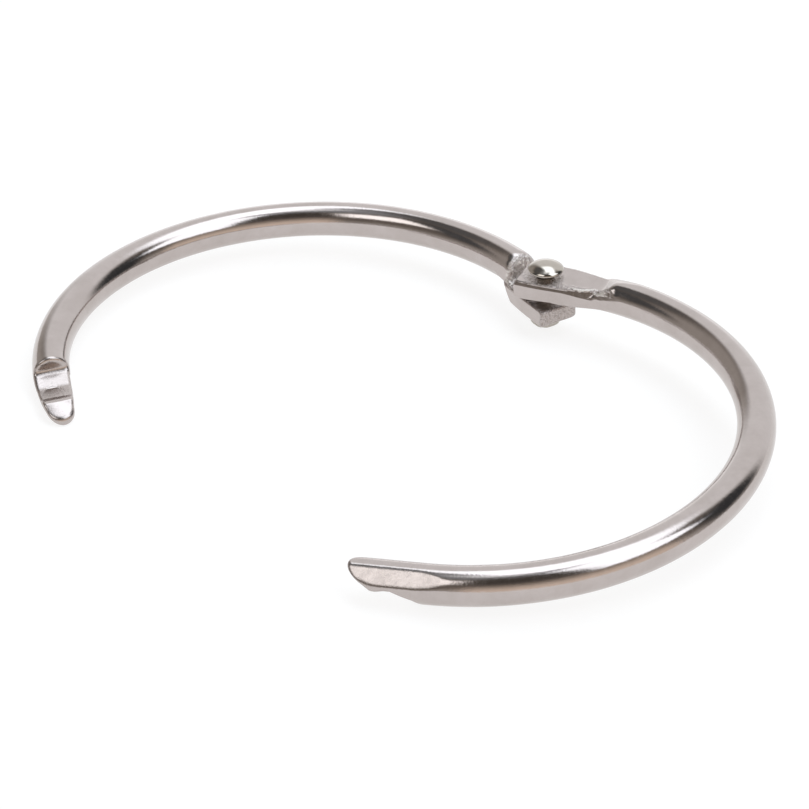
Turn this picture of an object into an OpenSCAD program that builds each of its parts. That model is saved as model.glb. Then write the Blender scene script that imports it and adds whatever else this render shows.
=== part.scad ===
// Hinged loose-leaf ring: two half rings of round wire on one loose rivet, with a snap catch
// opposite it. It lies flat, with the wire's circle in the XY plane. The origin is the centre of
// the lower half's circle, halfway up its wire, and the rivet stands at +X, parallel to Z.
// The lower half bends from the rivet through +Y, and the upper half, when shut, through -Y.

/* [Ring] */
// Clear diameter inside the closed ring
ring_inner_d = 50; // [40:1:76]
// Diameter of the round wire
wire_d = 3.85; // [3.5:0.05:4.6]
// Degrees that the upper half stands open, from its circle lying on the lower one
open_angle = 51.5; // [10:0.1:120]

/* [Seat of the upper half on its loose rivet] */
// Degrees that the upper half dips from the rivet to the catch, where both halves are level
upper_dip_angle = 1; // [0.8:0.05:1.5]
// Degrees that the upper half's bow stands up
upper_lean_angle = 1.7; // [0:0.1:2]

/* [Hinge laps] */
// Straight length of each half, from the rivet to where its bend starts
straight_l = 3.9; // [3:0.1:4.2]
// Greatest width of a pressed lap
lap_w = 5; // [4.6:0.05:5.2]
// Length of a lap past the rivet's axis
lap_overhang = 2.85; // [2.5:0.05:3.2]
// Radius about the rivet that takes a lap's corners off
lap_corner_r = 3.7; // [3.4:0.05:3.8]
// Distance from the rivet to where a lap's sides have drawn in to the wire
lap_run = 8; // [7.4:0.1:9]
// Width of a lap there
lap_root_w = 3.2; // [2.8:0.05:3.3]
// Rounding along a lap's long edges
lap_edge_r = 0.5; // [0.2:0.05:0.6]
// Thickness of the upper lap
upper_lap_t = 2.1; // [1.8:0.05:2.2]
// How far the upper lap is set down from the middle of its wire
upper_lap_drop = 0.2; // [0:0.05:0.3]
// Thickness of the lower lap, set down under the upper one
lower_lap_t = 1.85; // [1.4:0.05:2]
// Gap between the two laps
lap_gap = 0.6; // [0.5:0.05:0.9]
// Distance from the rivet to the upper wire's shoulders, at the lap's faces
upper_shoulder = 6; // [5.6:0.1:6.6]
// Slope of the upper wire's top shoulder, in degrees
top_slope = 24; // [18:1:45]
// Distance from the rivet to where the lower lap starts to rise to its wire
lower_rise = 3.4; // [2:0.1:4]
// Slope of the shoulders under both laps, in degrees
under_slope = 40; // [30:1:60]
// Radius about the rivet of the lower wire's cut shoulder, at the lap's face
shoulder_r = 4.3; // [4.1:0.1:4.8]
// Degrees that the cut shoulder leans back
shoulder_lean = 2; // [0:1:20]

/* [Rivet] */
// Diameter of the rivet's shank
shank_d = 2; // [1.6:0.05:2.4]
// Clearance between the shank and the upper lap's hole, on the radius
pivot_clearance = 0.08; // [0.04:0.01:0.1]
// Diameter of the upper head
head_d = 3.9; // [3.4:0.05:4.4]
// Height of the upper head's rim
head_rim = 0.25; // [0.2:0.05:0.5]
// Height of the upper head's dome above its rim
head_dome = 0.7; // [0.3:0.05:1.2]
// Gap between the upper lap and the head above it
head_gap = 0.6; // [0.3:0.05:0.8]
// Diameter of the lower, peened head
foot_d = 3.3; // [3:0.05:3.8]
// Height of the lower head's rim
foot_rim = 1; // [0.4:0.05:1.1]
// Height of the lower head's dome under its rim
foot_dome = 0.85; // [0.3:0.05:1]

/* [Catch] */
// Degrees round the ring at which each half straightens to its tongue
tongue_angle = 177; // [174:0.5:178]
// How much is pressed off the inner side of a tongue
tongue_trim = 0.5; // [0.2:0.05:0.7]
// Length over which that fades into the round wire
trim_run = 4; // [3:0.5:6]
// Distance from a tongue's start to the lower half's tooth
lower_tooth = 0.5; // [0.2:0.1:1.2]
// Distance from a tongue's start to the upper half's tooth
upper_tooth = 4.4; // [4:0.1:5]
// Distance from the lower tooth back to the shoulder that the upper nose meets
lower_shoulder = 4.8; // [4.5:0.1:5.4]
// Length over which the lower pocket rises to that shoulder
lower_ramp_l = 2.2; // [1.6:0.1:2.4]
// Height of that rise
lower_ramp_h = 0.65; // [0.3:0.05:0.8]
// Length of the lower nose past its tooth
lower_nose = 2.5; // [2.2:0.05:2.8]
// Length of the upper nose past its tooth
upper_nose = 2.85; // [2.6:0.05:3.2]
// Height of the catch's parting above the wire's middle
parting = -0.15; // [-0.4:0.05:0.2]
// Height by which each tooth crosses the parting
tooth_h = 0.06; // [0.04:0.01:0.12]
// Length over which a tooth rises from its pocket
tooth_rise = 0.8; // [0.4:0.1:1]
// Length of the flat on top of a tooth
tooth_l = 0.5; // [0.3:0.05:0.7]
// Play between the two shut tongues
catch_play = 0.14; // [0.12:0.02:0.2]
// Thickness left at the lower nose's end
lower_nose_t = 0.9; // [0.6:0.05:1.2]
// Thickness left at the upper nose's end
upper_nose_t = 0.45; // [0.3:0.05:0.8]
// Radius of a nose, seen from above
nose_r = 1.6; // [1.2:0.05:1.8]

/* [Hidden] */

$fn = 96;
// Cutters reach this far past what they cut
past = 1;

wire_r = wire_d / 2;
ring_r = ring_inner_d / 2 + wire_r;
// Length and height of a cutter that takes all of the wire away
clear_l = 3 * wire_d;
clear_h = 2 * wire_d;

// The upper half stands proud by this much at the rivet, and the dip takes it off at the catch
upper_raise = 2 * ring_r * sin(upper_dip_angle);
upper_lap_bottom = upper_raise - upper_lap_drop - upper_lap_t / 2;
lower_lap_top = upper_lap_bottom - lap_gap;
lower_lap_bottom = lower_lap_top - lower_lap_t;
head_seat = upper_lap_bottom + upper_lap_t + head_gap;

// Each half leaves its bend along a tangent, which ends at the rivet
rivet_x = sqrt(ring_r * ring_r + straight_l * straight_l);
lap_turn = atan(straight_l / ring_r);
// A lap's sides are two long arcs, widest beside the rivet
lap_bow = (lap_w - lap_root_w) / 2;
lap_side_r = (lap_run * lap_run + lap_bow * lap_bow) / (2 * lap_bow);

// Puts its children at the rivet
module at_rivet() {
    translate([rivet_x, 0, 0]) children();
}

// Puts its children at the rivet, with +Y along the lap
module at_lap() {
    at_rivet() rotate(lap_turn) children();
}

// Puts its children where a tongue starts, with +Y along it to its nose
module at_tongue() {
    rotate(tongue_angle) translate([ring_r, 0, 0]) children();
}

// Takes a side view, drawn as distance along the wire and height, right across the wire
module across(width = clear_l) {
    rotate([90, 0, 90]) translate([0, 0, -width / 2]) linear_extrude(width) children();
}

// Round wire: the bend, and a straight tongue of a given length
module bent_wire(tongue_l) {
    rotate(tongue_angle) {
        rotate_extrude(angle = lap_turn - tongue_angle)
            translate([ring_r, 0]) circle(d = wire_d);
        translate([ring_r, 0, 0]) rotate([-90, 0, 0]) cylinder(d = wire_d, h = tongue_l);
    }
}

// A lap's outline from above
module lap_outline() {
    intersection() {
        translate([lap_side_r - lap_w / 2, 0]) circle(r = lap_side_r, $fn = 200);
        translate([lap_w / 2 - lap_side_r, 0]) circle(r = lap_side_r, $fn = 200);
        translate([-lap_w, -lap_overhang]) square([2 * lap_w, lap_overhang + lap_run]);
        union() {
            circle(r = lap_corner_r);
            translate([-lap_w, 0]) square([2 * lap_w, lap_run]);
        }
    }
}

// A lap's cross-section: flat faces and round edges
module lap_section(t) {
    square([lap_w - 2 * lap_edge_r, t], center = true);
    square([lap_w, t - 2 * lap_edge_r], center = true);
    for (x = [-1, 1], y = [-1, 1])
        translate([x * (lap_w / 2 - lap_edge_r), y * (t / 2 - lap_edge_r)])
            circle(r = lap_edge_r, $fn = 48);
}

// A pressed lap about the rivet's axis, on the height of its lower face, which rises from a
// distance to the wire
module lap(t, rise) {
    intersection() {
        linear_extrude(t) lap_outline();
        across() polygon([
            [-lap_overhang, t], [-lap_overhang, lap_edge_r], [lap_edge_r - lap_overhang, 0],
            [rise, 0], [rise + t / tan(under_slope), t]
        ]);
        translate([0, lap_run, t / 2])
            rotate([90, 0, 0]) linear_extrude(lap_overhang + lap_run) lap_section(t);
    }
}

// What is cut from a tongue of a given length on either half: its inner side is trimmed and
// its nose is rounded
module trim_tongue(tongue_l) {
    translate([0, 0, -clear_h / 2]) linear_extrude(clear_h) {
        polygon([
            [-clear_l, -trim_run / 2], [-wire_r, -trim_run / 2],
            [tongue_trim - wire_r, trim_run / 2], [tongue_trim - wire_r, clear_l],
            [-clear_l, clear_l]
        ]);
        difference() {
            translate([-clear_l / 2, tongue_l - nose_r]) square(clear_l);
            translate([tongue_trim / 2, tongue_l - nose_r]) circle(r = nose_r);
        }
    }
}

// What is cut away over the lower tongue: a square shoulder, a rising pocket, the tooth and the nose
module over_lower_tongue() {
    pocket_z = parting - tooth_h - catch_play;
    tooth_z = parting + tooth_h;
    across() polygon([
        [-lower_shoulder, clear_h], [-lower_shoulder, pocket_z + lower_ramp_h],
        [lower_ramp_l - lower_shoulder, pocket_z], [-tooth_rise, pocket_z],
        [0, tooth_z], [tooth_l, tooth_z],
        [lower_nose, lower_nose_t - wire_r], [clear_l, lower_nose_t - wire_r],
        [clear_l, clear_h]
    ]);
}

// What is cut away under the upper tongue: the same upside down, with a ramp behind the pocket
// that clears the lower nose
module under_upper_tongue() {
    pocket_z = parting + tooth_h + catch_play;
    tooth_z = parting - tooth_h;
    ramp_z = lower_nose_t - wire_r + catch_play;
    ramp_y = -tooth_rise - lower_nose - catch_play;
    across() polygon([
        [ramp_y - clear_h, ramp_z - clear_h], [ramp_y, ramp_z],
        [-tooth_rise - tooth_l - catch_play, pocket_z], [-tooth_rise, pocket_z],
        [0, tooth_z], [tooth_l, tooth_z],
        [upper_nose, wire_r - upper_nose_t], [clear_l, wire_r - upper_nose_t],
        [clear_l, ramp_z - clear_h]
    ]);
}

// The upper half drawn shut, over +Y: flat, with its wire's middle at height 0
module upper_half_flat() {
    lap_bottom = -upper_lap_drop - upper_lap_t / 2;
    lap_top = lap_bottom + upper_lap_t;
    difference() {
        bent_wire(upper_tooth + upper_nose);
        // The round wire starts at sloping shoulders, over and under the lap
        at_lap() across() polygon([
            [-clear_l, -clear_h],
            [upper_shoulder + (clear_h + lap_bottom) / tan(under_slope), -clear_h],
            [upper_shoulder, lap_bottom], [upper_shoulder, lap_top],
            [upper_shoulder + (clear_h - lap_top) / tan(top_slope), clear_h],
            [-clear_l, clear_h]
        ]);
        at_tongue() {
            translate([0, upper_tooth, 0]) under_upper_tongue();
            trim_tongue(upper_tooth + upper_nose);
        }
    }
    translate([0, 0, lap_bottom]) at_lap() lap(upper_lap_t, lap_run);
}

module lower_half_ring() {
    // The round wire starts at a cone about the rivet, in which the upper lap swings
    room_r = shoulder_r - lower_lap_t * tan(shoulder_lean);
    color("silver")
    difference() {
        union() {
            difference() {
                bent_wire(lower_tooth + lower_nose);
                translate([0, 0, lower_lap_bottom]) at_rivet()
                    cylinder(r1 = room_r, r2 = room_r + clear_h * tan(shoulder_lean), h = clear_h);
                at_tongue() {
                    translate([0, lower_tooth, 0]) over_lower_tongue();
                    trim_tongue(lower_tooth + lower_nose);
                }
            }
            translate([0, 0, lower_lap_bottom]) at_lap() lap(lower_lap_t, lower_rise);
        }
        translate([0, 0, lower_lap_bottom - past])
            at_rivet() cylinder(d = shank_d, h = clear_h);
    }
}

module upper_half_ring() {
    color("gainsboro")
    difference() {
        at_rivet() rotate(open_angle) translate([0, 0, upper_raise])
            rotate([-upper_lean_angle, -upper_dip_angle, 0]) translate([-rivet_x, 0, 0])
                mirror([0, 1, 0]) upper_half_flat();
        // The hole stands upright, so that the half turns freely about the rivet
        translate([0, 0, upper_lap_bottom - past])
            at_rivet() cylinder(r = shank_d / 2 + pivot_clearance, h = clear_h);
    }
}

// A rivet head on the height of its seat: a short rim and a dome
module rivet_head(d, rim, dome) {
    dome_r = (d * d / 4 + dome * dome) / (2 * dome);
    cylinder(d = d, h = rim);
    intersection() {
        translate([0, 0, rim + dome - dome_r]) sphere(r = dome_r);
        cylinder(d = d, h = rim + dome + past);
    }
}

module hinge_rivet() {
    color("lightgray")
    at_rivet() {
        translate([0, 0, lower_lap_bottom])
            cylinder(d = shank_d, h = head_seat - lower_lap_bottom);
        translate([0, 0, head_seat]) rivet_head(head_d, head_rim, head_dome);
        translate([0, 0, lower_lap_bottom])
            mirror([0, 0, 1]) rivet_head(foot_d, foot_rim, foot_dome);
    }
}

lower_half_ring();
upper_half_ring();
hinge_rivet();
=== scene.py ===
"""Hinged loose-leaf ring, lying open: two half rings of nickel-plated wire on one loose rivet.

Lengths are in millimetres in the ring's own frame: the wire's circle lies in XY about the
origin and the rivet stands at +X. Each half is drawn shut over +Y and then put in its place.
A half is a skin: rays go out from a line that runs inside the metal, and each vertex is where
its ray leaves the half's distance field.
"""
import math

import bpy
import numpy as np
from mathutils import Matrix, Vector


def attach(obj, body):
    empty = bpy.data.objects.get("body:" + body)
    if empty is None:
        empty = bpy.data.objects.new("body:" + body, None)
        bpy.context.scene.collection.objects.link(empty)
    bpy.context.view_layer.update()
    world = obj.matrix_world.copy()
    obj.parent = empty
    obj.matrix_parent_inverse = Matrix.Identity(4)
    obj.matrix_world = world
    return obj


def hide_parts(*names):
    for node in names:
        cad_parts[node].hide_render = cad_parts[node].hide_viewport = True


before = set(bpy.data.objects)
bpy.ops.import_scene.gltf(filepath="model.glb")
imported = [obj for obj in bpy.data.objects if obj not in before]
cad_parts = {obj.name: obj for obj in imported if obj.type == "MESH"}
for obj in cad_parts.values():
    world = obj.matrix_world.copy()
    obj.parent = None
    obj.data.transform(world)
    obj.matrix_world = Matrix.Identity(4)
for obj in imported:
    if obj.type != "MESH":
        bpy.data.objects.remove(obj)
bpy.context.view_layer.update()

MM = 0.001

# The ring, as in the part
WIRE_R = 1.925
RING_R = 26.925
STRAIGHT_L = 3.9
RIVET_X = math.hypot(RING_R, STRAIGHT_L)
LAP_TURN = math.atan2(STRAIGHT_L, RING_R)
TONGUE = math.radians(177)
OPEN_TURN = math.radians(51.5)
UPPER_DIP = math.radians(1)
UPPER_LEAN = math.radians(1.7)
UPPER_RAISE = 2 * RING_R * math.sin(UPPER_DIP)

# Laps, seen from above and in section
LAP_W, LAP_ROOT_W, LAP_RUN, LAP_OVERHANG, LAP_CORNER_R = 5.0, 3.2, 8.0, 2.85, 3.7
LAP_BOW = (LAP_W - LAP_ROOT_W) / 2
LAP_SIDE_R = (LAP_RUN ** 2 + LAP_BOW ** 2) / (2 * LAP_BOW)
UNDER_SLOPE = math.radians(40)
UPPER_LAP = (-1.25, 0.85)
UPPER_SHOULDER = 6.0
PRESS_END, PRESS_SLOPE = 6.85, math.radians(35)
LOWER_LAP = (-2.76, -0.91)
LOWER_RISE = 3.4
SHOULDER_R = 4.3
# The shears drew the shoulder's face out of upright by more than the part's plain cone
SHOULDER_LEAN = math.radians(10)

# What the press left on the laps and the upper tongue: height of a bevel, tilt of a face
LOWER_BEVEL, UPPER_BEVEL = 0.2, 0.46
LOW_FACET, HIGH_FACET = math.radians(28), math.radians(41)
FLAT_TILT, FLAT_DEPTH = math.radians(45), 0.2

# Catch
TONGUE_TRIM, TRIM_RUN, NOSE_R = 0.5, 4.0, 1.6
POCKET_IN, TOOTH_OUT, POCKET_RISE, POCKET_RAMP = 0.2, 0.06, 0.65, 2.2
PARTING, PLAY = -0.15, 0.14
LOWER_TOOTH, LOWER_NOSE, LOWER_NOSE_Z, LOWER_SHOULDER = 0.5, 2.5, -1.025, 4.8
UPPER_TOOTH, UPPER_NOSE, UPPER_NOSE_Z = 4.4, 2.85, 1.475

# Rivet
SHANK_R, HOLE_R = 1.0, 1.08
HEAD_SEAT, HEAD_R, HEAD_RIM, HEAD_DOME = 2.39, 1.95, 0.25, 0.7
FOOT_R, FOOT_RIM, FOOT_DOME = 1.65, 1.0, 0.85

# Fineness of the skins: rays round the wire, steps along its ends and its bend, and ends' rings
ROUND, STEP, BEND_RINGS, CAP_RINGS = 152, 0.07, 200, 25
RIVET_ROUND, DRILL_ROUND = 128, 96
# A skin stays this far inside the solid, so that its waves don't pass it
SKIN_IN = 0.008


def smax(a, b, k):
    """The greater of a and b, with a blend of width k where they cross."""
    h = np.maximum(k - np.abs(a - b), 0) / k
    return np.maximum(a, b) + h * h * k / 4


def smin(a, b, k):
    """The lesser of a and b, with a blend of width k where they cross."""
    return -smax(-a, -b, k)


def ease(a, b, x):
    """0 before a, 1 after b, and a smooth S between them."""
    t = np.clip((x - a) / (b - a), 0, 1)
    return t * t * (3 - 2 * t)


def waves(u, v, seed, longest, shortest, terms=7):
    """A smooth random height of size about 1: a sum of sines of random direction and length."""
    rng = np.random.default_rng(seed)
    total = np.zeros(np.broadcast(u, v).shape)
    for _ in range(terms):
        length = longest * (shortest / longest) ** rng.random()
        turn, phase = rng.random(2) * 2 * math.pi
        total += np.sin(2 * math.pi / length * (u * math.cos(turn) + v * math.sin(turn)) + phase)
    return total / math.sqrt(terms)


def lap_axes(p):
    """Distance outward from the lap's middle line and distance along it from the rivet."""
    x, y = p[..., 0] - RIVET_X, p[..., 1]
    c, s = math.cos(LAP_TURN), math.sin(LAP_TURN)
    return x * c + y * s, y * c - x * s


def tongue_axes(p):
    """Distance outward from the tongue's middle line and distance along it from its bend."""
    c, s = math.cos(TONGUE), math.sin(TONGUE)
    return p[..., 0] * c + p[..., 1] * s - RING_R, p[..., 1] * c - p[..., 0] * s


def off_wire(p):
    """Distance outside the round wire: a straight run, the bend and the straight tongue."""
    turn = np.arctan2(p[..., 1], p[..., 0])
    out = np.where(turn < LAP_TURN, lap_axes(p)[0], np.hypot(p[..., 0], p[..., 1]) - RING_R)
    out = np.where((turn > TONGUE) | (turn < -math.pi / 2), tongue_axes(p)[0], out)
    return np.hypot(out, p[..., 2]) - WIRE_R


def at_hinge(p, f, other):
    """One field on the hinge's side of the ring and another on the catch's side."""
    return np.where(p[..., 0] > 0, f, other)


def lap_field(p, faces, rise, bevel):
    """A pressed lap: two long bowed sides, round corners, flat faces and a rising underside.

    bevel is the height of the part under the top edge that leans in.
    """
    x, y = lap_axes(p)
    low, top = faces
    z = p[..., 2]
    side = np.hypot(np.abs(x) + LAP_SIDE_R - LAP_W / 2, y) - LAP_SIDE_R
    end = smax(-y - LAP_OVERHANG, np.where(y < 0, np.hypot(x, y), np.abs(x)) - LAP_CORNER_R, 0.12)
    under = (y - rise - (z - low) / math.tan(UNDER_SLOPE)) * math.sin(UNDER_SLOPE)
    # The outer corner is the rounder one, and the bevel grows towards the root
    rim = smax(side, end, 0.12 + 0.8 * ease(0.3, 1.6, x))
    lean_in = 0.55 * np.maximum(z - top + bevel * (1 + 1.2 * ease(2, 7, y)), 0)
    f = smax(0.88 * (rim + lean_in), z - top, 0.14)
    f = smax(f, low - z, 0.3)
    return smax(f, under, 0.2)


def trim_field(f, p, length):
    """A tongue's inner side pressed flat and its nose rounded."""
    x, y = tongue_axes(p)
    u = y - (length - NOSE_R)
    nose = np.hypot(x - TONGUE_TRIM / 2, np.maximum(u, 0)) - NOSE_R - 0.3 * np.clip(-u, 0, 4)
    flat = TONGUE_TRIM * ease(-TRIM_RUN / 2, TRIM_RUN / 2, y) - WIRE_R - x
    flat = flat - 0.3 * ease(0, -TRIM_RUN, y)
    near = (p[..., 0] < 0) & (y > -TRIM_RUN)
    return np.where(near, smax(smax(f, flat, 0.4), nose, 0.45), f)


def lower_field(p):
    """Less than 0 inside the lower half."""
    x, y = lap_axes(p)
    z = p[..., 2]
    room = SHOULDER_R + (z - LOWER_LAP[1]) * math.tan(SHOULDER_LEAN) - np.hypot(x, y)
    f = smax(off_wire(p), room * math.cos(SHOULDER_LEAN), 1.0)
    # A fillet only above the lap's upper face
    fillet = 0.1 + ease(-0.2, 0.2, z - LOWER_LAP[1])
    f = smin(f, lap_field(p, LOWER_LAP, LOWER_RISE, LOWER_BEVEL), fillet)

    across, past = tongue_axes(p)
    past = past - LOWER_TOOTH
    pocket, tooth = PARTING - POCKET_IN, PARTING + TOOTH_OUT
    over = z - np.interp(past, [-LOWER_SHOULDER, POCKET_RAMP - LOWER_SHOULDER, -0.8, 0, 0.5, LOWER_NOSE], [
        pocket + POCKET_RISE, pocket, pocket, tooth, tooth, LOWER_NOSE_Z])
    # The nose is crowned across
    over = over + 0.16 * ease(0.3, 1.2, past) * ((across - TONGUE_TRIM / 2) / NOSE_R) ** 2
    step = past + LOWER_SHOULDER - 0.05 * (z - PARTING)
    f = smax(f, at_hinge(p, -9, smin(over * 0.9, step, 0.5)), 0.4)
    return trim_field(f, p, LOWER_TOOTH + LOWER_NOSE)


def upper_field(p):
    """Less than 0 inside the upper half."""
    x, y = lap_axes(p)
    z = p[..., 2]
    above = (PRESS_END + (z - UPPER_LAP[1]) / math.tan(PRESS_SLOPE) - y) * math.sin(PRESS_SLOPE)
    below = (UPPER_SHOULDER + (UPPER_LAP[0] - z) / math.tan(UNDER_SLOPE) - y) * math.sin(UNDER_SLOPE)
    f = smax(off_wire(p), at_hinge(p, smax(above, below, 0.1), -9), 0.3)
    # Past its end the press has still flattened the wire a little
    thin = 0.94 * z + 0.34 * x - WIRE_R - 0.4 + 0.75 * ease(14.5, 7.5, y)
    f = at_hinge(p, smax(f, thin, 0.4), f)
    f = smin(f, lap_field(p, UPPER_LAP, LAP_RUN, UPPER_BEVEL), 0.25)

    # Two facets on the inner side carry the lap's bevel over into the wire
    inward = np.where(y < STRAIGHT_L, -x, RING_R - np.hypot(p[..., 0], p[..., 1]))
    low_depth = np.interp(y, [3.5, 4, 6, 7, 9.5], [3, 2.1, 1.73, 1.75, 1.96])
    high_depth = 1.87 + 0.25 * np.minimum(np.abs(y - 8.5), 4) ** 2
    low_facet = z * math.sin(LOW_FACET) + inward * math.cos(LOW_FACET) - low_depth
    high_facet = z * math.sin(HIGH_FACET) + inward * math.cos(HIGH_FACET) - high_depth
    f = at_hinge(p, smax(f, np.maximum(low_facet, high_facet), 0.05), f)

    across, along = tongue_axes(p)
    past = along - UPPER_TOOTH
    ramp_y = -0.8 - LOWER_NOSE - PLAY
    pocket, tooth, ramp = PARTING + POCKET_IN, PARTING - TOOTH_OUT, LOWER_NOSE_Z + PLAY
    under = np.interp(past, [ramp_y - 4, ramp_y, -1.44, -0.8, 0, 0.5, 1.4, UPPER_NOSE], [
        ramp - 4, ramp, pocket, pocket, tooth + 0.1, tooth + 0.14, 0.55, UPPER_NOSE_Z]) - z
    f = smax(f, at_hinge(p, -9, under * 0.75), 0.25)

    # The press leaves a long flat on the outer side of the tongue
    flat = across * math.cos(FLAT_TILT) + z * math.sin(FLAT_TILT) - WIRE_R
    flat = flat + FLAT_DEPTH * ease(-3, 1, along)
    f = at_hinge(p, f, smax(f, np.where(along > -4, flat, -9), 0.1))
    return trim_field(f, p, UPPER_TOOTH + UPPER_NOSE)


def path(points):
    """Stations along a list of (distance, lean in degrees), with even steps in both."""
    points = np.array(points, float)
    move = np.hypot(np.diff(points[:, 0]), np.radians(np.diff(points[:, 1])) * 1.2)
    far = np.concatenate([[0], np.cumsum(move)])
    at = np.linspace(0, far[-1], int(far[-1] / STEP) + 1)
    return np.interp(at, far, points[:, 0]), np.interp(at, far, np.radians(points[:, 1]))


def shell(name, rings, masks, flip, place=Matrix.Identity(4), along=None):
    """A closed mesh through rings of points, whose first and last rings shrink to one point.

    The face at ring i and ray j joins rays j and j + 1 of rings i and i + 1, and flip turns it
    over. masks holds values at the points, for the material. along gives each ring's distance
    along the wire, for a UV map in millimetres along it and round it.
    """
    rows, count = rings.shape[:2]
    rings[0], rings[-1] = rings[0].mean(0), rings[-1].mean(0)

    def by_vertex(values):
        """The first end's value, those of the rings between and the last end's."""
        between = values[1:-1].reshape(-1, *values.shape[2:])
        return np.concatenate([values[0, :1], between, values[-1, :1]])

    def by_face(corners):
        """Triangles at both ends and four-sided faces between them."""
        parts = [corners[0, :, 1:], corners[1:-1].reshape(-1, 4), corners[-1, :, :3]]
        return [part[:, ::-1] if flip else part for part in parts]

    verts = by_vertex(rings)
    verts = np.concatenate([verts, np.ones((len(verts), 1))], 1) @ np.array(place).T
    index = np.zeros((rows, count), int)
    index[1:-1] = 1 + np.arange((rows - 2) * count).reshape(-1, count)
    index[-1] = len(verts) - 1
    i, j = np.broadcast_arrays(np.arange(rows - 1)[:, None, None] + np.array([0, 0, 1, 1]),
                               np.arange(count)[:, None] + np.array([0, 1, 1, 0]))

    mesh = bpy.data.meshes.new(name)
    faces = [face for part in by_face(index[i, j % count]) for face in part.tolist()]
    mesh.from_pydata((verts[:, :3] * MM).tolist(), [], faces)
    if along is not None:
        uv = [np.concatenate([part.ravel() for part in by_face(corners)])
              for corners in (along[i], j * 2 * math.pi / count * WIRE_R)]
        mesh.uv_layers.new(name="along_wire").data.foreach_set("uv", np.stack(uv, -1).ravel())
    for key, mask in masks.items():
        mesh.attributes.new(key, "FLOAT", "POINT").data.foreach_set("value", by_vertex(mask))
    mesh.shade_smooth()
    mesh.update()
    obj = bpy.data.objects.new(name, mesh)
    bpy.context.collection.objects.link(obj)
    return obj


def skin(name, field, hinge_end, catch_end, middle, grain, place):
    """One half ring as a closed skin of quads round its middle line.

    Each station gives a ring of rays square to the wire. Where the metal steps up or down, the
    upward rays lean along the wire, so that they meet the step's face. At both ends the rays
    of the last station tilt by steps to straight ahead, which closes the end. hinge_end and
    catch_end list the stations of the two worked ends, from the rivet and from the tongue's
    start. middle gives the height of the rays' start at each station.
    """
    tongue = STRAIGHT_L + RING_R * (TONGUE - LAP_TURN)
    first, first_lean = path(hinge_end)
    last, last_lean = path(catch_end)
    last = last + tongue
    bend = np.linspace(first[-1], last[0], BEND_RINGS + 2)[1:-1]
    along = np.concatenate([first, bend, last])
    slope = np.pad(np.concatenate([first_lean, 0 * bend, last_lean]), CAP_RINGS)
    tilt = np.linspace(0, math.pi / 2, CAP_RINGS + 1)[1:]
    s = np.pad(along, CAP_RINGS, "edge")
    cap = np.concatenate([-tilt[::-1], np.zeros(along.size), tilt])

    turn = LAP_TURN + np.clip(s - STRAIGHT_L, 0, tongue - STRAIGHT_L) / RING_R
    out = np.stack([np.cos(turn), np.sin(turn), 0 * turn], -1)
    ahead = np.stack([-np.sin(turn), np.cos(turn), 0 * turn], -1)
    run = np.minimum(s - STRAIGHT_L, 0) + np.maximum(s - tongue, 0)
    start = out * RING_R + ahead * run[:, None]
    start[:, 2] = middle(s, s - tongue)

    # On the lap more of the rays go to its sides
    phi = np.arange(ROUND) * 2 * math.pi / ROUND
    phi = phi[None] - 0.38 * ease(12, 9, s)[:, None] * np.sin(2 * phi)[None]
    lean = cap[:, None] + slope[:, None] * ease(-0.35, 0.55, np.sin(phi))
    ray = np.cos(phi)[..., None] * out[:, None] + np.sin(phi)[..., None] * np.array([0, 0, 1.0])
    ray = np.cos(lean)[..., None] * ray + np.sin(lean)[..., None] * ahead[:, None]
    start = start[:, None]

    # The first step of each ray that is outside, and then halving
    stride, strides, halvings = 0.1, 52, 16
    reach = np.zeros(ray.shape[:2])
    inside = np.ones(ray.shape[:2], bool)
    for _ in range(strides):
        inside &= field(start + ray * (reach + stride)[..., None]) < 0
        reach += np.where(inside, stride, 0)
    low, high = reach, reach + stride
    for _ in range(halvings):
        mid = (low + high) / 2
        within = field(start + ray * mid[..., None]) < 0
        low, high = np.where(within, mid, low), np.where(within, high, mid)
    p = start + ray * low[..., None]

    worked = np.clip(np.abs(off_wire(p)) / 0.05, 0, 1)
    # grain holds dark grain from bruises and painted shade, and under 0 painted highlights
    masks = {"worked": worked * at_hinge(p, 0.4, 1), "grain": grain(p)}
    # The wire is not quite true, and the pressed faces are less so
    bow = waves(s[:, None], np.zeros((1, ROUND)), 11, longest=14, shortest=4)
    beaten = 1 + waves(p[..., 0], p[..., 1] + 1.7 * p[..., 2], 5, longest=4, shortest=0.9)
    dent = 0.004 * bow - at_hinge(p, 0.005, 0.002) * worked * beaten
    p = p + ray * (dent - SKIN_IN)[..., None]
    return shell(name, p, masks, place.determinant() > 0, place, s + cap)


def drill(obj, radius):
    """An upright hole through a lap at the rivet, taken out of the skin for good."""
    turn = np.arange(DRILL_ROUND) * 2 * math.pi / DRILL_ROUND
    ring = [RIVET_X + radius * np.cos(turn), radius * np.sin(turn)]
    verts = np.concatenate([np.stack([*ring, np.full(DRILL_ROUND, z)], -1) for z in (-8, 8)])
    j = np.arange(DRILL_ROUND)
    k = (j + 1) % DRILL_ROUND
    faces = np.stack([j, k, DRILL_ROUND + k, DRILL_ROUND + j], -1).tolist()
    faces += [j[::-1].tolist(), (DRILL_ROUND + j).tolist()]
    mesh = bpy.data.meshes.new("drill")
    mesh.from_pydata((verts * MM).tolist(), [], faces)
    tool = bpy.data.objects.new("drill", mesh)
    bpy.context.collection.objects.link(tool)
    cut = obj.modifiers.new("hole", "BOOLEAN")
    cut.operation, cut.object, cut.solver = "DIFFERENCE", tool, "EXACT"
    graph = bpy.context.evaluated_depsgraph_get()
    made = bpy.data.meshes.new_from_object(obj.evaluated_get(graph))
    obj.modifiers.clear()
    obj.data = made
    bpy.data.objects.remove(tool)
    made.set_sharp_from_angle(angle=math.radians(50))


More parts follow.
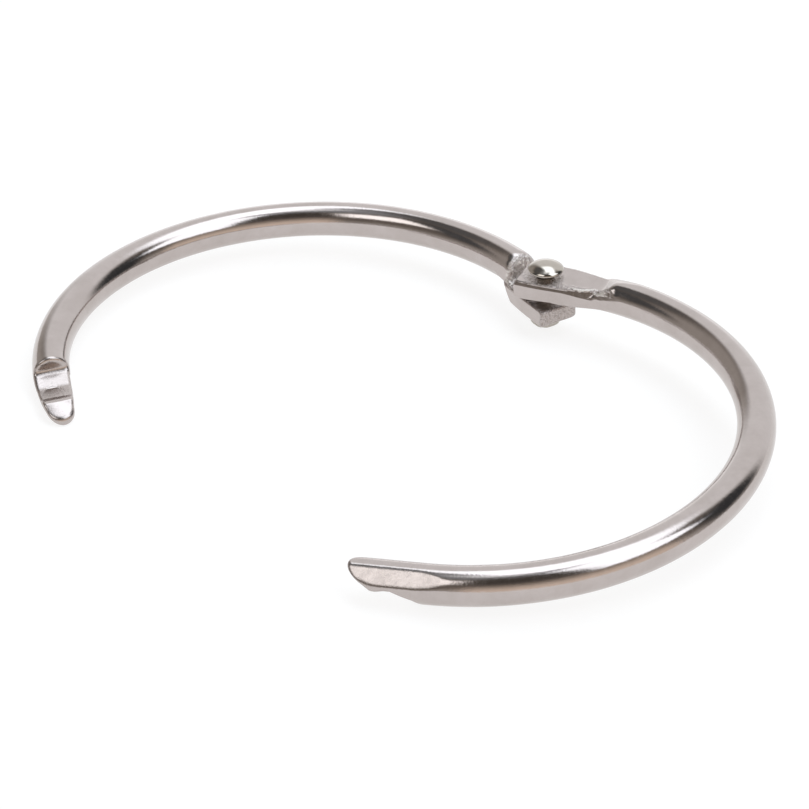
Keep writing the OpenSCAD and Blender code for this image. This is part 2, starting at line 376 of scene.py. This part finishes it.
def rivet():
    """The rivet, turned about its axis: a peened foot, the shank and a low domed head.

    Its outline goes up from the foot's lowest point, as (distance from the axis, height).
    """
    seat = LOWER_LAP[0]
    foot_low = seat - FOOT_RIM - FOOT_DOME
    head_top = HEAD_SEAT + HEAD_RIM + HEAD_DOME
    t = np.linspace(0, 1, 15)
    foot_dome = np.stack([(FOOT_R - 0.22) * t, foot_low + 0.62 * t * t], -1)
    foot_side = [(FOOT_R - 0.08, foot_low + 0.72), (FOOT_R - 0.02, foot_low + 0.85),
                 (FOOT_R, foot_low + 1.1), (FOOT_R - 0.02, seat - 0.2), (FOOT_R - 0.07, seat - 0.06),
                 (FOOT_R - 0.16, seat - 0.01), (1.3, seat - 0.005), (SHANK_R + 0.03, seat - 0.005),
                 (SHANK_R - 0.005, seat + 0.02)]
    shank = [(SHANK_R - 0.01, z) for z in np.linspace(seat + 0.1, HEAD_SEAT - 0.15, 24)]
    head_side = [(SHANK_R + 0.03, HEAD_SEAT - 0.02), (SHANK_R + 0.12, HEAD_SEAT),
                 (1.5, HEAD_SEAT + 0.005), (HEAD_R - 0.14, HEAD_SEAT + 0.01),
                 (HEAD_R - 0.06, HEAD_SEAT + 0.04), (HEAD_R - 0.015, HEAD_SEAT + 0.1),
                 (HEAD_R - 0.01, HEAD_SEAT + 0.17), (HEAD_R - 0.04, HEAD_SEAT + 0.25)]
    t = np.linspace(1, 0, 19)[1:]
    head_dome = np.stack([(HEAD_R - 0.09) * t, head_top - 0.01 - (HEAD_DOME - 0.08) * t ** 2.3], -1)
    outline = np.concatenate([foot_dome, foot_side, shank, head_side, head_dome])

    turn = np.arange(RIVET_ROUND) * 2 * math.pi / RIVET_ROUND
    r, z = outline[:, :1], outline[:, 1:] + 0 * turn
    x, y = r * np.cos(turn), r * np.sin(turn)
    # The foot is hammered over in a few flats; the head is pressed and nearly true
    foot = z < seat - 0.08
    beat = 0.03 * (1 + waves(x * 1.4, y * 1.4 + z, 3, longest=3.2, shortest=0.9)) * foot
    head = 0.012 * (1 + waves(x, y, 8, longest=3.5, shortest=1.6)) * (z > HEAD_SEAT + 0.1)
    shrink = 1 - np.where(r > 0.01, beat * 0.6 / np.maximum(r, 0.5), 0)
    z = z + beat - head
    # The foot is hammered and grainy; the shank and the head's underside get part of that dark grain as
    # painted shade under the head
    worked = np.where(foot, 1.0, np.where(z > HEAD_SEAT + 0.02, 0.0, 0.6))
    rings = np.stack([x * shrink + RIVET_X, y * shrink, z], -1)
    return shell("rivet_skin", rings, {"worked": worked, "grain": worked * 0.8}, False)


def lower_grain_shade_and_highlight(p):
    """The lower half's grain: its lap's end and upper face and its shoulder were cut by the shears; the
    end is darkened, the upper face darkened as painted shade under the upper lap, and, under 0, the
    shoulder painted pale as a painted highlight.
    """
    x, y = lap_axes(p)
    z = p[..., 2]
    # The shoulder is painted pale here: a painted highlight, given as a value under 0
    shoulder = ease(0.7, 0.4, np.abs(np.hypot(x, y) - SHOULDER_R - 0.3)) * (z > LOWER_LAP[1] + 0.05)
    end = ease(-2.3, -2.7, y) * (z < 0)
    # The lap's upper face under the upper lap is darkened: painted shade
    top = 0.6 * (np.abs(z - LOWER_LAP[1]) < 0.12) * (y < 4.3)
    return at_hinge(p, np.where(shoulder > 0, -0.82 * shoulder, np.maximum(end, top)), 0)


def upper_grain_shade_and_highlight(p):
    """Where the upper lap is darkened: bruises along the inner edge, and painted shade round the rivet
    under its head; under 0, painted highlights at its root.
    """
    x, y = lap_axes(p)
    z = p[..., 2]
    edge = ease(-0.9, -1.7, x) * ease(8.6, 7.2, y) * ease(-1.0, 1.5, y)
    # Round the rivet on the inner side, under its head: painted shade
    ring = 0.8 * ease(2.9, 2.2, np.hypot(x, y)) * ease(1.0, -0.6, x)
    # The bevel's upper edge gets a painted highlight in a line, and the end of the press gets one in a
    # spot
    rim = np.interp(y, [3.3, 4, 4.8, 5.6, 6.1], [-1.75, -1.75, -1.71, -1.44, -1.19])
    line = ease(0.2, 0.1, np.abs(x - rim)) * ease(3.2, 4, y) * ease(6.5, 6.1, y) * (z > 0.68)
    spot = ease(5.9, 6.2, y) * ease(8, 7, y) * ease(-1.45, -1.55, x) * ease(0.42, 0.5, z - 0.15 * (y - 6))
    root = np.maximum(line, spot) * (z < 1.2)
    mask = np.where(root > 0, -root, np.maximum(edge, ring))
    return at_hinge(p, mask * ((z > UPPER_LAP[1] - 0.14) | (root > 0)), 0)


class Nodes:
    """Short calls for building one node tree."""

    def __init__(self, tree):
        self.tree = tree

    def add(self, kind, inputs=(), **settings):
        """Adds a node; inputs maps its sockets to values or to other nodes' outputs."""
        node = self.tree.nodes.new(kind)
        for key, value in settings.items():
            setattr(node, key, value)
        for key, value in dict(inputs).items():
            if isinstance(value, bpy.types.NodeSocket):
                self.tree.links.new(value, node.inputs[key])
            else:
                node.inputs[key].default_value = value
        return node

    def math(self, operation, a, b=0.0, c=0.0):
        """One sum on numbers."""
        return self.add("ShaderNodeMath", {0: a, 1: b, 2: c}, operation=operation).outputs[0]

    def plus(self, first, *others):
        """All the numbers added up."""
        for other in others:
            first = self.math("ADD", first, other)
        return first

    def times(self, first, *others):
        """All the numbers multiplied."""
        for other in others:
            first = self.math("MULTIPLY", first, other)
        return first

    def noise(self, vector, scale, detail=2.0, rough=0.5):
        """Noise from 0 to 1 about 0.5; scale is the number of its blotches to a millimetre."""
        return self.add("ShaderNodeTexNoise", {
            "Vector": vector, "Scale": scale, "Detail": detail, "Roughness": rough}).outputs["Fac"]

    def scaled(self, vector, scale):
        """A vector times a vector."""
        return self.add("ShaderNodeVectorMath", {0: vector, 1: scale}, operation="MULTIPLY").outputs[0]

    def between(self, value, low, high, to_low=0.0, to_high=1.0):
        """A value from one range put into another, and held at its ends."""
        return self.add("ShaderNodeMapRange", {
            "Value": value, "From Min": low, "From Max": high,
            "To Min": to_low, "To Max": to_high}).outputs[0]

    def blend(self, share, a, b):
        """Colour a, with a share of colour b."""
        return self.add("ShaderNodeMix", {0: share, 6: a, 7: b}, data_type="RGBA").outputs[2]


def new_tree(owner):
    """An empty node tree on a material or a world, ready for nodes."""
    owner.use_nodes = True
    owner.node_tree.nodes.clear()
    return Nodes(owner.node_tree)


def colour(code):
    """An sRGB hex colour as linear red, green, blue and 1."""
    part = np.array([int(code[i:i + 2], 16) for i in (0, 2, 4)]) / 255
    return (*np.where(part <= 0.04045, part / 12.92, ((part + 0.055) / 1.055) ** 2.4).tolist(), 1)


def plating(name, shine, tint, marks):
    """Bright nickel plating on steel: smooth and a little yellow, so that it mirrors the room.

    Drawing marks run along the round wire, and pressed faces and faces cut by the shears are grainy. shine
    is the roughness of the polished surface, tint its colour, and marks how strong the wire's own
    marks are. The mask "worked" is over 0 on pressed faces. "grain" is over 0 where a face is
    darkened, by real bruises or as painted shade, and under 0 where it is painted pale as a
    painted highlight.
    """
    mat = bpy.data.materials.new(name)
    n = new_tree(mat)
    place = n.add("ShaderNodeTexCoord").outputs["Object"]
    mm = n.scaled(place, (1000, 1000, 1000))
    wire = n.add("ShaderNodeUVMap", uv_map="along_wire").outputs["UV"] if marks else mm
    worked = n.add("ShaderNodeAttribute", attribute_name="worked").outputs["Fac"]
    # The grain mask: real grain and bruises, painted shade where over 0, painted highlights where under 0
    grain_shade_and_highlight = n.add("ShaderNodeAttribute", attribute_name="grain").outputs["Fac"]
    grainy = n.math("ABSOLUTE", grain_shade_and_highlight)
    pressed = n.math("MINIMUM", worked, 0.4)
    bruise_and_shade = n.math("MAXIMUM", grain_shade_and_highlight, 0.0)
    painted_highlight = n.math("MAXIMUM", n.times(grain_shade_and_highlight, -1.0), 0.0)
    plain = n.between(painted_highlight, 0.82, 0.95)

    # Uneven plating in blotches of 3 and 0.6 mm, and pits of 0.1 mm
    cloud = n.noise(mm, 0.35, 3.0)
    patch = n.noise(mm, 1.6, 4.0, 0.6)
    speck = n.noise(mm, 9.0, 2.0, 0.7)
    # Hairlines across the wire, 0.17 mm wide: real ones of 0.02 mm are too fine to show
    hair = n.noise(n.scaled(wire, (6, 0.5, 1)), 1.0, 4.0, 0.7)
    # Drawing lines of 0.1 mm by 4 mm along the wire, and an orange peel of 0.2 mm
    drawn = n.noise(n.scaled(wire, (0.25, 9, 1)), 1.0, 3.0, 0.6)
    orange = n.noise(mm, 5.5, 1.0, 0.5)
    # Sheared faces: a grain of 0.2 mm, chips of 0.4 mm and the press's dents of 0.5 mm
    grain = n.noise(mm, 5.0, 5.0, 0.75)
    chips = n.between(n.noise(mm, 2.8, 3.0, 0.6), 0.4, 0.6)
    chips = n.math("MAXIMUM", chips, plain)
    press = n.noise(n.scaled(mm, (1.0, 1.0, 2.2)), 2.0, 2.0, 0.5)

    # Colour: a slow drift of tone, dark grain on bruises and as painted shade, and pale chips as a painted
    # highlight
    drift = n.plus(n.times(cloud, 0.55), n.times(n.plus(patch, hair), 0.22))
    tone = n.add("ShaderNodeValToRGB", {"Fac": n.between(drift, 0.35, 0.65)})
    dim, clear = tone.color_ramp.elements
    dim.color = (*[c * 0.92 for c in colour(tint)[:3]], 1)
    clear.color = (*[c * k for c, k in zip(colour(tint), (1.04, 1.045, 1.06))], 1)
    # Dark grain towards 897D74: real bruises, and painted shade under the upper lap, round the rivet and
    # on the rivet's shank
    dull = n.blend(n.times(bruise_and_shade, n.between(grain, 0.36, 0.5, 0.75, 0.0)),
                   tone.outputs["Color"], colour("897D74"))
    # Pale chips towards EDE8E3: a painted highlight on the lower shoulder and at the upper lap's root
    metal = n.blend(n.times(painted_highlight, chips), dull, colour("EDE8E3"))

    rough = n.plus(
        shine,
        n.between(patch, 0.35, 0.7, 0.0, 0.04),
        n.between(hair, 0.5, 0.75, 0.0, 0.06),
        n.times(worked, n.between(patch, 0.3, 0.7, 0.11, 0.15)),
        n.times(grainy, n.between(grain, 0.4, 0.6, 0.10, 0.0)),
        n.times(plain, 0.25))

    # Heights in millimetres
    height = n.plus(
        n.times(hair, n.between(cloud, 0.42, 0.6, 0.25, 1.0), marks * 2.2e-3),
        n.times(drawn, marks * 0.6e-3),
        n.times(orange, n.between(cloud, 0.4, 0.6, marks * 0.004, marks * 0.007)),
        n.times(n.between(speck, 0.68, 0.8, 0.0, -1.0), 0.0015),
        n.times(grain, n.plus(n.times(pressed, 0.008),
                              n.times(grainy, n.between(plain, 0.0, 1.0, 0.07, 0.012)))),
        n.times(press, pressed, 0.02),
        n.times(chips, grainy, 0.05))
    bump = n.add("ShaderNodeBump", {"Height": height, "Distance": MM, "Strength": 1.0}).outputs["Normal"]

    shader = n.add("ShaderNodeBsdfPrincipled", {
        "Base Color": metal, "Metallic": 1.0, "Roughness": rough, "Normal": bump})
    n.add("ShaderNodeOutputMaterial", {"Surface": shader.outputs["BSDF"]})
    return mat


def dress(obj, mat, body, node):
    """Gives a piece its material and says what it is in the frame."""
    obj.data.materials.clear()
    obj.data.materials.append(mat)
    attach(obj, body)
    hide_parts(node)



def lower_middle(s, past):
    """Height at which the lower half's rays start: within the lap, the wire and then the tongue."""
    lap = -1.835 + 0.335 * ease(3, 5.2, s) + 1.5 * ease(6, 10, s)
    return lap - 1.15 * ease(-10, -6, past) - 0.2 * ease(0, 1.8, past)


def upper_middle(s, past):
    """Height at which the upper half's rays start: within the lap, the wire and then the tongue."""
    lap = -0.2 * (1 - ease(6, 10, s))
    return lap + 1.05 * ease(-3.2, -0.2, past) + 0.55 * ease(3.4, 6.6, past)


# From shut to open as it lies: turned on the rivet, raised, dipped, leaned and mirrored
SEAT = (Matrix.Translation((RIVET_X, 0, 0)) @ Matrix.Rotation(OPEN_TURN, 4, "Z")
        @ Matrix.Translation((0, 0, UPPER_RAISE)) @ Matrix.Rotation(-UPPER_DIP, 4, "Y")
        @ Matrix.Rotation(-UPPER_LEAN, 4, "X") @ Matrix.Translation((-RIVET_X, 0, 0))
        @ Matrix.Scale(-1, 4, (0, 1, 0)))

wire_nickel = plating("nickel_plated_wire", 0.11, "BCB3AF", 1.0)
rivet_nickel = plating("nickel_plated_rivet", 0.10, "BCB5AC", 0.0)

lower = skin(
    "lower_half_skin", lower_field,
    [(-1.5, 0), (3.0, 0), (5.2, -75), (5.9, 0), (7.5, 0)],
    [(-7.5, 0), (-6.0, 0), (-5.4, 75), (-2.0, 0), (1.8, 0)],
    lower_middle, lower_grain_shade_and_highlight, Matrix.Identity(4))
drill(lower, SHANK_R)
dress(lower, wire_nickel, "lower", "lower_half_ring")

upper = skin(
    "upper_half_skin", upper_field,
    [(-1.5, 0), (11, 0)], [(-4, 0), (6.05, 0)],
    upper_middle, upper_grain_shade_and_highlight, SEAT)
drill(upper, HOLE_R)
dress(upper, wire_nickel, "upper", "upper_half_ring")

pin = rivet()
dress(pin, rivet_nickel, "lower", "hinge_rivet")

# Camera
AZIMUTH, ELEVATION, ROLL = math.radians(-22.14), math.radians(33.06), -0.022
TARGET, REACH = Vector((4.52, -14.74, 0)), 266.9
back = Vector((math.sin(AZIMUTH) * math.cos(ELEVATION), -math.cos(AZIMUTH) * math.cos(ELEVATION),
               math.sin(ELEVATION)))
right = Vector((math.cos(AZIMUTH), math.sin(AZIMUTH), 0))
up = back.cross(right)
across = right * math.cos(ROLL) + up * math.sin(ROLL)
upward = up * math.cos(ROLL) - right * math.sin(ROLL)
lens = bpy.data.cameras.new("camera")
lens.sensor_width, lens.lens = 36, 118.0
lens.clip_start, lens.clip_end = 0.01, 50
eye = bpy.data.objects.new("camera", lens)
eye.matrix_world = Matrix.Translation((TARGET + back * REACH) * MM) @ Matrix(
    (across, upward, back)).transposed().to_4x4()
bpy.context.collection.objects.link(eye)
bpy.context.scene.camera = eye
bpy.context.scene.view_settings.view_transform = "Standard"

# Floor: it touches the rivet's foot and the lowest points of both bows. The ring lies tilted
# on it, so it rises by LEVEL for each unit of x and of y.
LEVEL = np.array([-0.0491, -0.0151])
FLOOR_SIZE, FLOOR_GAP = 4000, 0.002
floor_z = math.inf
for piece in (lower, upper, pin):
    co = np.empty(len(piece.data.vertices) * 3)
    piece.data.vertices.foreach_get("co", co)
    co = co.reshape(-1, 3)
    floor_z = min(floor_z, float((co[:, 2] - co[:, :2] @ LEVEL).min()))
corners = FLOOR_SIZE * MM * np.array([(-1, -1), (1, -1), (1, 1), (-1, 1)])
heights = floor_z - FLOOR_GAP * MM + corners @ LEVEL
mesh = bpy.data.meshes.new("floor")
mesh.from_pydata(np.column_stack([corners, heights]).tolist(), [], [(0, 1, 2, 3)])
floor = bpy.data.objects.new("floor", mesh)
bpy.context.collection.objects.link(floor)
# White board: matt, and white by its own colour, so that the ring's shadow stays faint
board = bpy.data.materials.new("white_board")
n = new_tree(board)
paper = n.add("ShaderNodeBsdfPrincipled", {
    "Base Color": colour("868686"), "Roughness": 0.9, "Specular IOR Level": 0.1,
    "Emission Color": colour("FFFFFF"), "Emission Strength": 0.82})
n.add("ShaderNodeOutputMaterial", {"Surface": paper.outputs["BSDF"]})
mesh.materials.append(board)


def glow(level, warmth):
    """A grey of some brightness; warmth is its red over its blue."""
    k = math.sqrt(warmth)
    return (level * k, level, level / k, 1)


def paint_room(panels):
    """The world as soft-edged panels on a sphere: softboxes, walls and dark gaps.

    Directions are in degrees round from the camera's side, to the right, and in degrees up.
    A panel's share is a smooth step at each edge, round times up. A later panel covers an
    earlier one.
    """
    room = bpy.data.worlds.new("room")
    bpy.context.scene.world = room
    n = new_tree(room)
    way = n.add("ShaderNodeTexCoord").outputs["Generated"]

    def dot(axis):
        """How far the direction points along an axis."""
        return n.add("ShaderNodeVectorMath", {0: way, 1: axis}, operation="DOT_PRODUCT").outputs["Value"]

    height = n.add("ShaderNodeSeparateXYZ", {"Vector": way}).outputs["Z"]
    around = n.math("ARCTAN2", dot(right), dot((math.sin(AZIMUTH), -math.cos(AZIMUTH), 0)))
    around = n.times(around, math.degrees(1))
    upto = n.times(n.math("ARCSINE", height), math.degrees(1))

    def smooth(value, edge, fade):
        """1 where a value is well under an edge and 0 well over it."""
        return n.add("ShaderNodeMapRange", {
            "Value": value, "From Min": edge - fade / 2, "From Max": edge + fade / 2,
            "To Min": 1.0, "To Max": 0.0}, interpolation_type="SMOOTHSTEP").outputs[0]

    def within(value, low, high, fade):
        """1 well inside a range of degrees and 0 well outside it."""
        off = n.math("WRAP", n.math("SUBTRACT", value, (low + high) / 2), 180, -180)
        return smooth(n.math("ABSOLUTE", off), (high - low) / 2, fade)

    walls = n.blend(smooth(upto, 9, 36), glow(0.17, 1.3), glow(0.64, 1.1))
    for level, warmth, left_edge, right_edge, low, high, fades in panels:
        share = n.times(within(around, left_edge, right_edge, fades[0]), within(upto, low, high, fades[1]))
        walls = n.blend(share, walls, glow(level, warmth))
    sky = n.add("ShaderNodeBackground", {"Color": walls, "Strength": 1.0})
    n.add("ShaderNodeOutputWorld", {"Surface": sky.outputs[0]})


# Brightness, warmth, left, right, low, high, and how far the sides and the ends fade
paint_room((
    (0.33, 0.91, -180, 180, 68, 100, (1, 10)),    # ceiling
    (0.42, 1.15, -150, -92, -20, 42, (24, 20)),   # wall behind on the left
    (0.13, 1.0, -152, -100, 48, 72, (16, 14)),    # gap over that wall
    (1.02, 0.98, 117, 203, -40, 57, (20, 16)),    # white backdrop
    (1.6, 0.98, 162, 192, -40, 8, (24, 14)),      # its lit foot
    (0.09, 0.95, -96, -70, 22, 62, (14, 16)),     # dark stand on the left
    (0.05, 0.9, 85, 115, 2, 42, (12, 18)),        # dark stand on the right
    (0.85, 1.4, -12, 70, -30, 22, (10, 44)),      # warm bench in front
    (0.07, 1.3, -14, 37, 40, 73, (9, 24)),        # dark side of the camera
    (1.2, 0.9, -180, 180, 82, 98, (1, 10)),       # light overhead
    (2.15, 1.0, -67, -20, 40, 62, (12, 10)),      # left softbox
    (2.4, 0.87, 41, 90, 34, 75, (8, 8)),          # right softbox
    (2.5, 0.87, 86, 200, 56, 97, (12, 10))))      # softbox over the backdrop
